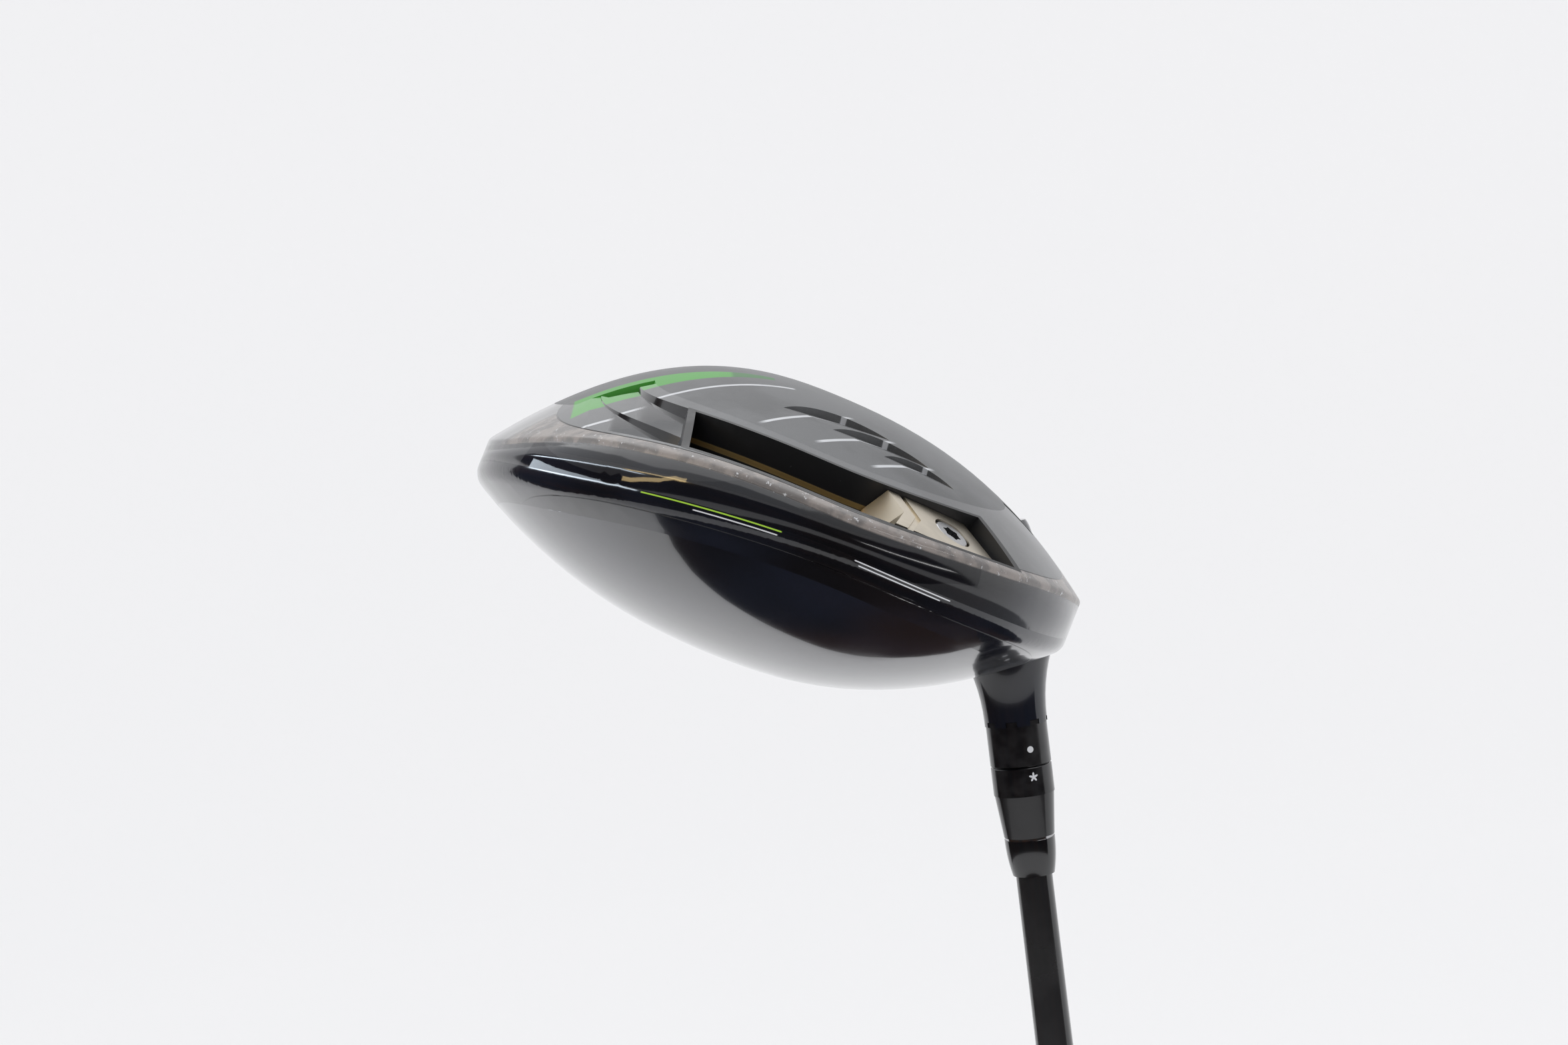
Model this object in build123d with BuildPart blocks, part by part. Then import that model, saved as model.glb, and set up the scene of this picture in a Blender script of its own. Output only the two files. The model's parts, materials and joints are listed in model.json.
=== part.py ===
from build123d import *
from math import cos, radians, sin
import os

# A golf driver with a hollow head, a weight that slides in a curved track along the
# back of its sole, and an adjustable sleeve that one bolt holds in the hosel.
# Lengths are in millimetres and angles in degrees.
#
# The club's frame has its origin at the middle of the grip's butt end. +Z runs along
# the shaft to the head, +Y points the way the face looks and -X leads to the toe.
# The head is drawn in its own frame, which stands as the club does at address: its
# origin is where the shaft's axis meets the ground, +X leads to the toe, +Y to the
# target and +Z to the crown. "Up the shaft" is a distance from that same point.

os.makedirs("parts", exist_ok=True)

# Whole club
club_length = 1156.0        # butt end to the point where the shaft's axis meets the ground
lie = 61.0                  # the shaft's angle to the ground
loft = 10.5                 # how far the face leans back

# Head outline, seen from the crown
head_centre = 43.0          # middle of the head, towards the toe from the shaft's axis
rear_edge = -104.0
rear_radius = 56.0
rear_half_angle = 48.0
half_width = 65.0
shoulder_radius = 110.0
shoulder_angle = 19.0
side_run = 24.0             # straight run of each side, which the face then cuts off

# Crown and sole heights above the ground
apex = -12.0                # where the crown is highest
crown_top = 63.0
crown_toe_drop = 17.0
crown_heel_drop = 28.0
crown_rear_drop = 26.0
crown_front_drop = 5.0
sole_toe_rise = 37.0
sole_heel_rise = 22.0
sole_rear_rise = 28.0
sole_front_rise = 3.0
front_run = 29.0            # apex to where the front drop and rise are counted
crown_edge_round = 4.0
sole_edge_round = 1.2

# Face
face_radius = 300.0         # bulge and roll
face_height = 29.0          # height of the face's centre
face_front = 15.5           # how far forward the face's centre is
score_depth = 0.25
score_width = 0.9
score_pitch = 5.0
score_length = 15.0
score_gap = 36.0            # clear face between the heel and the toe groups of lines
scores_each_side = 6

# Walls and panels
wall = 3.0
face_wall = 3.2
cup_rear = 5.0              # back edge of the face cup
cup_heel = 8.0              # heel edge of the face cup
crown_margin = 7.0          # frame left around the crown panel
crown_panel_front = -3.0
crown_panel_thickness = 1.2
crown_ledge = 5.0
sole_margin = 10.0
sole_panel_front = -3.0
sole_panel_thickness = 1.8
sole_ledge = 4.0
sole_panel_gap = 1.2        # between the sole panel and the track's wall
blade_thickness = 1.6
blade_spacing = 28.0
blade_depth = 7.0

# Scoops in the sole: (towards the toe from the middle, forward, chord, depth across the chord)
scoops = [(9.0, -70.0, 23.0, 4.6), (-1.0, -73.5, 20.0, 4.2), (-11.0, -76.5, 15.5, 3.6)]
scoop_turn = 135.0          # their chords' direction, from the toe round to the face
scoop_tilt = 14.0

# Weight track: an arc about an upright axis, its section leaning with the sole
track_centre = -48.0
track_radius = 47.3
track_lean = 26.0
track_half_width = 7.0
track_depth = 7.0
lip_half_gap = 3.0
lip_thickness = 1.2
undercut_half_width = 5.5
undercut_depth = 3.6
track_wall = 0.8
track_heel_angle = -41.0
track_past_toe = 62.0       # the sweep runs on past the toe stop, which then cuts it
track_over_sole = 4.0       # how far the track's cut stands out of the sole
track_toe_stop = 30.5       # the toe end's flat wall, from the middle of the head
partition = 1.4             # wall between the track and the pocket beyond its toe end
pocket_reach = 17.0
pocket_depth = 4.5
shelf_share = 0.5           # depth of the shelf along the pocket's inner side

# Sliding weight
weight_clearance = 0.3
weight_heel_gap = 3.3       # degrees of track left at its heel end
weight_span = 31.0          # degrees of track that it fills
notch_depth = 2.6
notch_lean = 24.0
notch_reach = 40.0          # how far the notch's cut runs towards the toe
groove_set_back = 2.4       # from the notched edge to the groove behind it
groove_width = 1.2
groove_depth = 0.9
screw_from_heel = 10.3      # degrees from the weight's heel end to its screw
clamp_span = 19.0           # degrees, centred on the screw
clamp_thickness = 3.0
screw_radius = 2.0
screw_head_radius = 3.7
screw_head_height = 3.0
screw_head_clearance = 0.3
screw_recess = 0.3          # how far the head sits below the weight's top
screw_edge = 0.3
screw_socket = 2.0
screw_socket_depth = 2.2
screw_washer_thickness = 0.5
screw_seat_gap = 0.05       # between the turning head and its washer

# Hosel and adjustable sleeve, by distance up the shaft
hosel_top = 60.0
hosel_radius = 7.3
hosel_root_radius = 12.0
port_end = 13.0
port_radius = 4.75
bolt_room_radius = 5.3      # wider room for the bolt's head behind the port
bolt_room_gap = 0.7         # below the bolt's head
tube_radius = 8.0
bolt_seat = 27.0
seat_thickness = 4.0
sleeve_radius = 5.5
sleeve_clearance = 0.1
bolt_radius = 2.5
bolt_clearance = 0.05
bolt_hole_clearance = 0.25
bolt_head_radius = 4.0
bolt_head_height = 5.3
bolt_socket = 2.1
bolt_socket_depth = 3.0
bolt_reach = 9.0
bolt_washer_thickness = 0.7
retainer_thickness = 0.7
sleeve_end_gap = 0.3
lie_cog_height = 9.3
loft_cog_height = 7.0
cog_radius = 7.1
cog_gap = 0.3
cog_teeth = 8
tooth_height = 1.2
tooth_width = 2.4
tooth_clearance = 0.1
collar_height = 10.0
collar_step = 0.15          # the collar starts a little inside the cogs
collar_end_radius = 5.9
ring_height = 0.6
ring_step = 0.2
ferrule_height = 8.5
ferrule_end_radius = 4.9
ferrule_bulge = 0.25

# Shaft and grip
tip_radius = 4.25
tip_parallel = 75.0
tip_seat = 5.0              # sleeve floor under the shaft's tip
butt_radius = 7.6
butt_parallel = 265.0
tip_wall = 1.6
butt_wall = 0.9
bond_gap = 0.05
tape_thickness = 0.15
grip_length = 267.0
cap_thickness = 3.0
cap_radius = 13.4
cap_round = 1.5
grip_mouth_radius = 8.9
grip_lip_round = 0.6
vent_radius = 2.2

# Frames and axes that follow from those sizes
lie_cos = cos(radians(lie))
lie_sin = sin(radians(lie))
head_frame = Plane(
    origin=(0, 0, club_length), x_dir=(-lie_sin, 0, lie_cos), z_dir=(-lie_cos, 0, -lie_sin)
)
head_place = head_frame.location
shaft_axis = Axis((0, 0, 0), (-lie_cos, 0, lie_sin))
shaft_end = Plane(origin=(0, 0, 0), x_dir=(lie_sin, 0, lie_cos), z_dir=(-lie_cos, 0, lie_sin))
shaft_section = Plane(origin=(0, 0, 0), x_dir=(lie_sin, 0, lie_cos), z_dir=(0, -1, 0))
track_axis = Axis((head_centre, track_centre, 0), (0, 0, 1))
head_room = 2 * half_width + 40.0       # larger than the head in every direction


def head_shares(x, y):
    """How far a point lies across, behind and in front of the crown's highest point."""
    across = abs(x - head_centre) / half_width
    back = max(0, apex - y) / (apex - rear_edge)
    front = max(0, y - apex) / front_run
    return across, back, front


def crown_height(x, y):
    """Height of the crown above the ground."""
    across, back, front = head_shares(x, y)
    side_drop = crown_toe_drop if x > head_centre else crown_heel_drop
    drop = side_drop * across**2.3 + crown_rear_drop * back**2.1 + crown_front_drop * front**2.3
    return crown_top - drop


def sole_height(x, y):
    """Height of the sole above the ground."""
    across, back, front = head_shares(x, y)
    side_rise = sole_toe_rise if x > head_centre else sole_heel_rise
    return side_rise * across**2.4 + sole_rear_rise * back**2.1 + sole_front_rise * front**2.3


def height_sheet(height, shift):
    """Smooth sheet that follows a height over the whole head, moved up by shift."""
    steps = 24
    reach_x = half_width + 12
    low_y = rear_edge - 12
    high_y = face_front + 24
    rows = []
    for i in range(steps):
        x = head_centre + reach_x * (2 * i / (steps - 1) - 1)
        column = [low_y + (high_y - low_y) * j / (steps - 1) for j in range(steps)]
        rows.append([Vector(x, y, height(x, y) + shift) for y in column])
    return Face.make_surface_from_array_of_points(rows, tol=0.01)


def head_outline(inset):
    """Outline of the head seen from the crown, moved inwards by inset."""
    rear_reach = rear_radius * sin(radians(rear_half_angle))
    side_angle = 90 - rear_half_angle
    side_radius = (half_width - rear_reach) / (1 - cos(radians(side_angle)))
    with BuildSketch() as outline:
        with BuildLine():
            rear = JernArc((head_centre, rear_edge), (1, 0), rear_radius, rear_half_angle)
            side = JernArc(rear @ 1, rear % 1, side_radius, side_angle)
            shoulder = JernArc(side @ 1, side % 1, shoulder_radius, shoulder_angle)
            run = Line(shoulder @ 1, (shoulder @ 1) + (shoulder % 1) * side_run)
            Line(run @ 1, (head_centre, (run @ 1).Y))
            mirror(about=Plane.YZ.offset(head_centre))
        make_face()
        if inset:
            offset(amount=-inset)
    return outline.sketch


def face_ball_centre():
    """Centre of the sphere that the face is part of."""
    normal = Vector(0, cos(radians(loft)), sin(radians(loft)))
    return Vector(head_centre, face_front, face_height) - normal * face_radius


def head_block(inset, face_inset):
    """Solid head without its hosel, moved inwards by inset and by face_inset at the face."""
    with BuildPart() as block:
        add(head_outline(inset))
        extrude(amount=head_room)
        add(Solid.extrude(height_sheet(crown_height, -inset * 1.15), (0, 0, -head_room)),
            mode=Mode.INTERSECT)
        add(Solid.extrude(height_sheet(sole_height, inset * 1.1), (0, 0, head_room)),
            mode=Mode.INTERSECT)
        with Locations(face_ball_centre()):
            Sphere(face_radius - face_inset, mode=Mode.INTERSECT)
    return block.part


def edges_on(part, height):
    """Edges of a part that lie on the crown or on the sole."""
    found = ShapeList()
    for edge in part.edges():
        middle = edge @ 0.5
        if abs(middle.Z - height(middle.X, middle.Y)) < 0.3:
            found.append(edge)
    return found


def under_crown(plan, depth):
    """Solid over a plan from depth below the crown's surface upwards."""
    with BuildPart() as slab:
        add(plan)
        extrude(amount=head_room)
        add(Solid.extrude(height_sheet(crown_height, -depth), (0, 0, head_room)),
            mode=Mode.INTERSECT)
    return slab.part


def over_sole(plan, depth):
    """Solid over a plan from depth above the sole's surface downwards."""
    with BuildPart() as slab:
        add(plan)
        extrude(amount=head_room, both=True)
        add(Solid.extrude(height_sheet(sole_height, depth), (0, 0, -head_room)),
            mode=Mode.INTERSECT)
    return slab.part


def crown_plan(inset):
    """Plan of the crown panel's opening, moved inwards by inset."""
    with BuildSketch() as plan:
        add(head_outline(crown_margin + inset))
        with Locations((head_centre, crown_panel_front - inset)):
            Rectangle(head_room, head_room, align=(Align.CENTER, Align.MIN),
                      mode=Mode.SUBTRACT)
        with Locations(hosel_at_crown):
            Circle(hosel_root_radius + crown_margin + inset, mode=Mode.SUBTRACT)
    return plan.sketch


def sole_plan(inset):
    """Plan of the sole panel's opening, moved inwards by inset."""
    with BuildSketch() as plan:
        add(head_outline(sole_margin + inset))
        with Locations((head_centre, sole_panel_front - inset)):
            Rectangle(head_room, head_room, align=(Align.CENTER, Align.MIN),
                      mode=Mode.SUBTRACT)
        with Locations((head_centre, track_centre - inset)):
            Rectangle(head_room, head_room, align=(Align.CENTER, Align.MAX),
                      mode=Mode.SUBTRACT)
        with Locations((head_centre, track_centre)):
            Circle(sole_panel_rear_radius - inset)
        with Locations(port_at_sole):
            Circle(hosel_root_radius + inset, mode=Mode.SUBTRACT)
    return plan.sketch


def up_shaft(distance):
    """Point on the shaft's axis, in the head's frame."""
    return Vector(-lie_cos, 0, lie_sin) * distance


def across_track(half_low, low, half_high, high):
    """Corners of a track section that is symmetrical about its middle line."""
    lean_cos = cos(radians(track_lean))
    lean_sin = sin(radians(track_lean))
    corners = [(-half_low, low), (-half_high, high), (half_high, high), (half_low, low)]
    return [
        (track_radius + w * lean_cos - h * lean_sin, track_height + w * lean_sin + h * lean_cos)
        for w, h in corners
    ]


def radial_plane(angle):
    """Upright plane through the track's axis, angle degrees from the rear to the toe."""
    out_x = sin(radians(angle))
    out_y = -cos(radians(angle))
    return Plane(origin=(head_centre, track_centre, 0), x_dir=(out_x, out_y, 0),
                 z_dir=(out_y, -out_x, 0))


def track_run(sections, start, end):
    """Solid swept round the track from one angle to another."""
    with BuildPart() as run:
        with BuildSketch(radial_plane(start)):
            for section in sections:
                with BuildLine():
                    Polyline(*across_track(*section), close=True)
                make_face()
        revolve(axis=track_axis, revolution_arc=end - start)
    return run.part


def screw_plane(angle):
    """Plane at the track's middle, its normal pointing out of the sole."""
    section = radial_plane(angle)
    lean_cos = cos(radians(track_lean))
    lean_sin = sin(radians(track_lean))
    outward = section.x_dir * lean_sin - Vector(0, 0, 1) * lean_cos
    across = section.x_dir * lean_cos + Vector(0, 0, 1) * lean_sin
    middle = Vector(head_centre, track_centre, track_height) + section.x_dir * track_radius
    return Plane(origin=middle, x_dir=across, z_dir=outward)


def star_socket(radius):
    """Six-lobed socket outline."""
    with BuildSketch() as socket:
        Circle(radius * 0.82)
        with PolarLocations(radius * 0.78, 6):
            Circle(radius * 0.22)
    return socket.sketch


def scoop(toeward, forward, chord, depth):
    """Crescent cut whose floor meets the sole along its chord and is deepest at its arc."""
    here = Vector(head_centre + toeward, forward, 0)
    step = 0.5
    slope_x = (sole_height(here.X + step, here.Y) - sole_height(here.X - step, here.Y)) / (2 * step)
    slope_y = (sole_height(here.X, here.Y + step) - sole_height(here.X, here.Y - step)) / (2 * step)
    outward = Vector(slope_x, slope_y, -1).normalized()
    along = Vector(cos(radians(scoop_turn)), sin(radians(scoop_turn)), 0)
    along = (along - outward * along.dot(outward)).normalized()
    floor = Plane(origin=(here.X, here.Y, sole_height(here.X, here.Y)), x_dir=along,
                  z_dir=outward).rotated((scoop_tilt, 0, 0))
    radius = ((chord / 2) ** 2 + depth**2) / (2 * depth)
    with BuildPart() as cut:
        with BuildSketch(floor):
            with Locations((0, depth - radius)):
                Circle(radius)
        extrude(amount=chord)
    return cut.part


# Places that follow from the shapes above
mid_height = (crown_height(head_centre, rear_edge) + sole_height(head_centre, rear_edge)) / 2
track_height = sole_height(head_centre, track_centre - track_radius)
sole_panel_rear_radius = track_radius - track_half_width - track_wall - sole_panel_gap
port_at_sole = (up_shaft(port_end).X, 0)
hosel_at_crown = (up_shaft(hosel_top - 12).X, 0)
neck_base = track_depth + lip_thickness
weight_start = track_heel_angle + weight_heel_gap
weight_end = weight_start + weight_span
screw_angle = weight_start + screw_from_heel
bolt_head_top = bolt_seat - bolt_washer_thickness
bolt_head_end = bolt_head_top - bolt_head_height

# ---- Head blank, its hollow and its hosel, which the separate pieces are cut from ----
blank = head_block(0, 0)
blank = blank.fillet(crown_edge_round, edges_on(blank, crown_height))
blank = blank.fillet(sole_edge_round, edges_on(blank, sole_height))

with BuildPart() as hollow:
    add(head_block(wall, face_wall))
    with BuildSketch(shaft_end):
        Circle(tube_radius)
    extrude(amount=hosel_top, mode=Mode.SUBTRACT)

with BuildPart() as hosel_root:
    with BuildSketch(shaft_section):
        with BuildLine():
            foot = Line((0, port_end), (port_radius + wall, port_end))
            side = Spline(
                foot @ 1,
                (hosel_root_radius * 0.8, port_end + 10),
                (hosel_root_radius, hosel_top - 23),
                (hosel_root_radius * 0.78, hosel_top - 14),
                (hosel_radius + 0.2, hosel_top - 5),
                (hosel_radius, hosel_top),
                tangents=((0.6, 1), (0, 1)),
            )
            Line(side @ 1, (0, hosel_top))
            Line((0, hosel_top), (0, port_end))
        make_face()
    revolve(axis=shaft_axis)

with BuildPart() as cup_zone:
    with Locations((cup_heel, cup_rear, 0)):
        Box(head_room, head_room, head_room, align=(Align.MIN, Align.MIN, Align.CENTER))
    add(hosel_root.part, mode=Mode.SUBTRACT)


# ---- Track, cut from the back of the sole ----
channel_sections = [
    (track_half_width, -track_over_sole, track_half_width, track_depth),
    (lip_half_gap, track_depth - 0.5, lip_half_gap, neck_base + 0.5),
    (undercut_half_width, neck_base, undercut_half_width, neck_base + undercut_depth),
]
trough_sections = [
    (track_half_width + track_wall, -track_over_sole,
     track_half_width + track_wall, track_depth + track_wall),
    (track_half_width + track_wall, track_depth + track_wall,
     undercut_half_width + track_wall, neck_base + undercut_depth + track_wall),
]
channel_run = track_run(channel_sections, track_heel_angle, track_past_toe)
trough_run = track_run(trough_sections, track_heel_angle - 2, track_past_toe)

with BuildPart() as channel:
    add(channel_run)
    split(bisect_by=Plane.YZ.offset(head_centre + track_toe_stop), keep=Keep.BOTTOM)

with BuildPart() as weight_channel:
    add(trough_run)
    split(bisect_by=Plane.YZ.offset(head_centre + track_toe_stop + partition), keep=Keep.BOTTOM)
    add(blank, mode=Mode.INTERSECT)
    add(channel.part, mode=Mode.SUBTRACT)
weight_channel.part.locate(head_place)
weight_channel.part.label = "weight_channel"
export_step(weight_channel.part, "parts/weight_channel.step")

with BuildPart() as trough_room:
    add(trough_run)
    split(bisect_by=Plane.YZ.offset(head_centre + track_toe_stop + partition), keep=Keep.BOTTOM)

# ---- Pocket beyond the track's toe end: its floor rises to the sole at its far tip ----
pocket_start = head_centre + track_toe_stop + partition
pocket_end = pocket_start + pocket_reach
pocket_inner = track_radius - track_half_width * cos(radians(track_lean))
pocket_outer = track_radius + track_half_width * cos(radians(track_lean))


def pocket_plan(inner, border):
    """Plan of the pocket from an inner radius outwards, grown by border."""
    with BuildSketch() as plan:
        with Locations((head_centre, track_centre)):
            Circle(pocket_outer + border)
            Circle(inner - border, mode=Mode.SUBTRACT)
        with Locations((pocket_start, track_centre)):
            Rectangle(head_room, head_room, align=(Align.MAX, Align.CENTER), mode=Mode.SUBTRACT)
        with Locations((pocket_end + border, track_centre)):
            Rectangle(head_room, head_room, align=(Align.MIN, Align.CENTER), mode=Mode.SUBTRACT)
        with Locations((head_centre, track_centre)):
            Rectangle(head_room, head_room, align=(Align.CENTER, Align.MIN), mode=Mode.SUBTRACT)
    return plan.sketch


def pocket_floor(x, y):
    """Height of the pocket's floor."""
    left = (pocket_end - x) / pocket_reach
    return sole_height(x, y) + pocket_depth * left


def pocket_ridge(x, y):
    """Height of the shallower shelf along the pocket's inner side."""
    left = (pocket_end - x) / pocket_reach
    return sole_height(x, y) + pocket_depth * shelf_share * left


with BuildPart() as pocket:
    add(pocket_plan(track_radius, 0))
    extrude(amount=head_room, both=True)
    add(Solid.extrude(height_sheet(pocket_floor, 0), (0, 0, -head_room)), mode=Mode.INTERSECT)

with BuildPart() as pocket_shelf:
    add(pocket_plan(pocket_inner, 0))
    extrude(amount=head_room, both=True)
    add(Solid.extrude(height_sheet(pocket_ridge, 0), (0, 0, -head_room)), mode=Mode.INTERSECT)

backing_room = over_sole(pocket_plan(pocket_inner, wall), pocket_depth + wall)
with BuildPart() as frame_hollow:
    add(hollow.part)
    add(backing_room, mode=Mode.SUBTRACT)

# ---- Body frame: hosel, skirt, sole bars and the ledges that the panels sit on ----
with BuildPart() as bores:
    with BuildSketch(shaft_end.offset(bolt_seat + seat_thickness)):
        Circle(sleeve_radius + sleeve_clearance)
    extrude(amount=hosel_top)
    with BuildSketch(shaft_end):
        Circle(port_radius)
    extrude(amount=bolt_seat)
    with BuildSketch(shaft_end.offset(bolt_head_end - bolt_room_gap)):
        Circle(bolt_room_radius)
    extrude(amount=bolt_head_height + bolt_washer_thickness + bolt_room_gap)
    with BuildSketch(shaft_end.offset(bolt_seat)):
        Circle(bolt_radius + bolt_hole_clearance)
    extrude(amount=seat_thickness)

with BuildPart() as tooth_slots:
    with BuildSketch(shaft_end.offset(hosel_top - tooth_height)):
        with PolarLocations(0, cog_teeth, start_angle=180 / cog_teeth):
            Rectangle(2 * hosel_radius, tooth_width + 2 * tooth_clearance,
                      align=(Align.MIN, Align.CENTER))
    extrude(amount=hosel_radius)

crown_seat = under_crown(crown_plan(0), crown_panel_thickness)
sole_seat = over_sole(sole_plan(0), sole_panel_thickness)
crown_opening = crown_plan(crown_ledge)
sole_opening = sole_plan(sole_ledge)

with BuildPart() as body_frame:
    add(blank)
    add(hosel_root.part)
    add(cup_zone.part, mode=Mode.SUBTRACT)
    add(crown_seat, mode=Mode.SUBTRACT)
    with BuildSketch(Plane.XY.offset(mid_height)):
        add(crown_opening)
    extrude(amount=head_room, mode=Mode.SUBTRACT)
    add(sole_seat, mode=Mode.SUBTRACT)
    with BuildSketch(Plane.XY.offset(mid_height)):
        add(sole_opening)
    extrude(amount=-head_room, mode=Mode.SUBTRACT)
    add(frame_hollow.part, mode=Mode.SUBTRACT)
    add(trough_room.part, mode=Mode.SUBTRACT)
    add(pocket.part, mode=Mode.SUBTRACT)
    add(pocket_shelf.part, mode=Mode.SUBTRACT)
    add(bores.part, mode=Mode.SUBTRACT)
    add(tooth_slots.part, mode=Mode.SUBTRACT)
body_frame.part.locate(head_place)
body_frame.part.label = "body_frame"
export_step(body_frame.part, "parts/body_frame.step")

# ---- Face cup ----
with BuildPart() as score_lines:
    with BuildSketch(Plane.XZ):
        for side in (-1, 1):
            middle = head_centre + side * (score_gap + score_length) / 2
            with Locations((middle, face_height)):
                with GridLocations(0, score_pitch, 1, scores_each_side):
                    SlotOverall(score_length, score_width)
    extrude(amount=-head_room)
    with Locations(face_ball_centre()):
        Sphere(face_radius - score_depth, mode=Mode.SUBTRACT)

with BuildPart() as face_cup:
    add(blank)
    add(cup_zone.part, mode=Mode.INTERSECT)
    add(hollow.part, mode=Mode.SUBTRACT)
    add(score_lines.part, mode=Mode.SUBTRACT)
face_cup.part.locate(head_place)
face_cup.part.label = "face_cup"
export_step(face_cup.part, "parts/face_cup.step")

# ---- Panels bonded to the frame's ledges ----
with BuildPart() as crown_panel:
    add(blank)
    add(crown_seat, mode=Mode.INTERSECT)
crown_panel.part.locate(head_place)
crown_panel.part.label = "crown_panel"
export_step(crown_panel.part, "parts/crown_panel.step")

scoop_cuts = [scoop(*sizes) for sizes in scoops]
with BuildPart() as sole_panel:
    add(blank)
    add(sole_seat, mode=Mode.INTERSECT)
    add(scoop_cuts, mode=Mode.SUBTRACT)
sole_panel.part.locate(head_place)
sole_panel.part.label = "sole_panel"
export_step(sole_panel.part, "parts/sole_panel.step")

# ---- Blades that tie the crown to the sole behind the face ----
with BuildPart() as stiffening_blades:
    with Locations((head_centre, cup_rear, 0)):
        with GridLocations(blade_spacing, 0, 2, 1):
            Box(blade_thickness, blade_depth, head_room,
                align=(Align.CENTER, Align.MIN, Align.CENTER))
    add(hollow.part, mode=Mode.INTERSECT)
stiffening_blades.part.locate(head_place)
stiffening_blades.part.label = "stiffening_blades"
export_step(stiffening_blades.part, "parts/stiffening_blades.step")

# ---- Sliding weight: block, clamp plate under the track's lips, screw and washer ----
weight_half_width = track_half_width - weight_clearance
neck_half_width = lip_half_gap - weight_clearance
clamp_top = neck_base + weight_clearance
screw_seat = screw_recess + screw_head_height + screw_seat_gap + screw_washer_thickness
weight_sections = [
    (weight_half_width, 0.1, weight_half_width, track_depth - weight_clearance),
    (neck_half_width, track_depth - 1, neck_half_width, clamp_top),
]
clamp_half_width = undercut_half_width - weight_clearance
clamp_sections = [(clamp_half_width, clamp_top, clamp_half_width, clamp_top + clamp_thickness)]
weight_top = screw_plane(screw_angle)
weight_toe_face = screw_plane(weight_end)
weight_run = track_run(weight_sections, weight_start, weight_end)
clamp_start = screw_angle - clamp_span / 2
clamp_run = track_run(clamp_sections, clamp_start, clamp_start + clamp_span)


def vee(back, reach):
    """Corners of a band across the weight, bent to a vee, from back for a reach heelwards."""
    side = 2 * track_half_width
    fall = notch_depth * side / weight_half_width
    low = [(-side, back - fall), (0, back), (side, back - fall)]
    return low + [(x, y + reach) for x, y in reversed(low)]


notch_back = notch_depth + track_depth * sin(radians(notch_lean))

with BuildPart() as toe_notch:
    for amount, lean in ((-2 * track_depth, notch_lean), (track_depth, 0)):
        with BuildSketch(weight_toe_face):
            with BuildLine():
                Polyline(*vee(notch_back, -notch_reach), close=True)
            make_face()
        extrude(amount=amount, taper=lean)

with BuildPart() as slide_weight:
    add(weight_run)
    add(toe_notch.part, mode=Mode.SUBTRACT)
    with BuildSketch(weight_toe_face.offset(-groove_depth)):
        with BuildLine():
            Polyline(*vee(notch_back + groove_set_back, groove_width), close=True)
        make_face()
    extrude(amount=track_depth, mode=Mode.SUBTRACT)
    with BuildSketch(weight_top.offset(-screw_seat)):
        Circle(screw_head_radius + screw_head_clearance)
    extrude(amount=track_depth, mode=Mode.SUBTRACT)
    with BuildSketch(weight_top):
        Circle(screw_radius + bolt_clearance)
    extrude(amount=-2 * track_depth, mode=Mode.SUBTRACT)
slide_weight.part.locate(head_place)
slide_weight.part.label = "slide_weight"
export_step(slide_weight.part, "parts/slide_weight.step")

with BuildPart() as weight_clamp:
    add(clamp_run)
    with BuildSketch(weight_top):
        Circle(screw_radius + bolt_clearance)
    extrude(amount=-3 * track_depth, mode=Mode.SUBTRACT)
weight_clamp.part.locate(head_place)
weight_clamp.part.label = "weight_clamp"
export_step(weight_clamp.part, "parts/weight_clamp.step")

with BuildPart() as weight_screw_washer:
    with BuildSketch(weight_top.offset(-screw_seat)):
        Circle(screw_head_radius)
        Circle(screw_radius + bolt_clearance, mode=Mode.SUBTRACT)
    extrude(amount=screw_washer_thickness)
weight_screw_washer.part.locate(head_place)
weight_screw_washer.part.label = "weight_screw_washer"
export_step(weight_screw_washer.part, "parts/weight_screw_washer.step")

with BuildPart() as weight_screw:
    with BuildSketch(weight_top.offset(-screw_recess)):
        Circle(screw_head_radius)
    extrude(amount=-screw_head_height)
    with BuildSketch(weight_top.offset(-screw_recess)):
        Circle(screw_radius)
    extrude(amount=-(clamp_top + clamp_thickness - screw_recess))
    chamfer(weight_screw.edges().filter_by(GeomType.CIRCLE).sort_by(Axis.Z)[0], screw_edge)
    with BuildSketch(weight_top.offset(-screw_recess)):
        add(star_socket(screw_socket))
    extrude(amount=-screw_socket_depth, mode=Mode.SUBTRACT)
weight_screw.part.locate(head_place)
weight_screw.part.label = "weight_screw"
export_step(weight_screw.part, "parts/weight_screw.step")

# ---- Bolt that holds the sleeve in the hosel ----
with BuildPart() as bolt_washer:
    with BuildSketch(shaft_end.offset(bolt_seat - bolt_washer_thickness)):
        Circle(bolt_head_radius + bolt_hole_clearance)
        Circle(bolt_radius + bolt_clearance, mode=Mode.SUBTRACT)
    extrude(amount=bolt_washer_thickness)
bolt_washer.part.locate(head_place)
bolt_washer.part.label = "bolt_washer"
export_step(bolt_washer.part, "parts/bolt_washer.step")

with BuildPart() as bolt_retainer:
    with BuildSketch(shaft_end.offset(bolt_seat + seat_thickness)):
        Circle(sleeve_radius)
        Circle(bolt_radius + bolt_clearance, mode=Mode.SUBTRACT)
    extrude(amount=retainer_thickness)
bolt_retainer.part.locate(head_place)
bolt_retainer.part.label = "bolt_retainer"
export_step(bolt_retainer.part, "parts/bolt_retainer.step")

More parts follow.
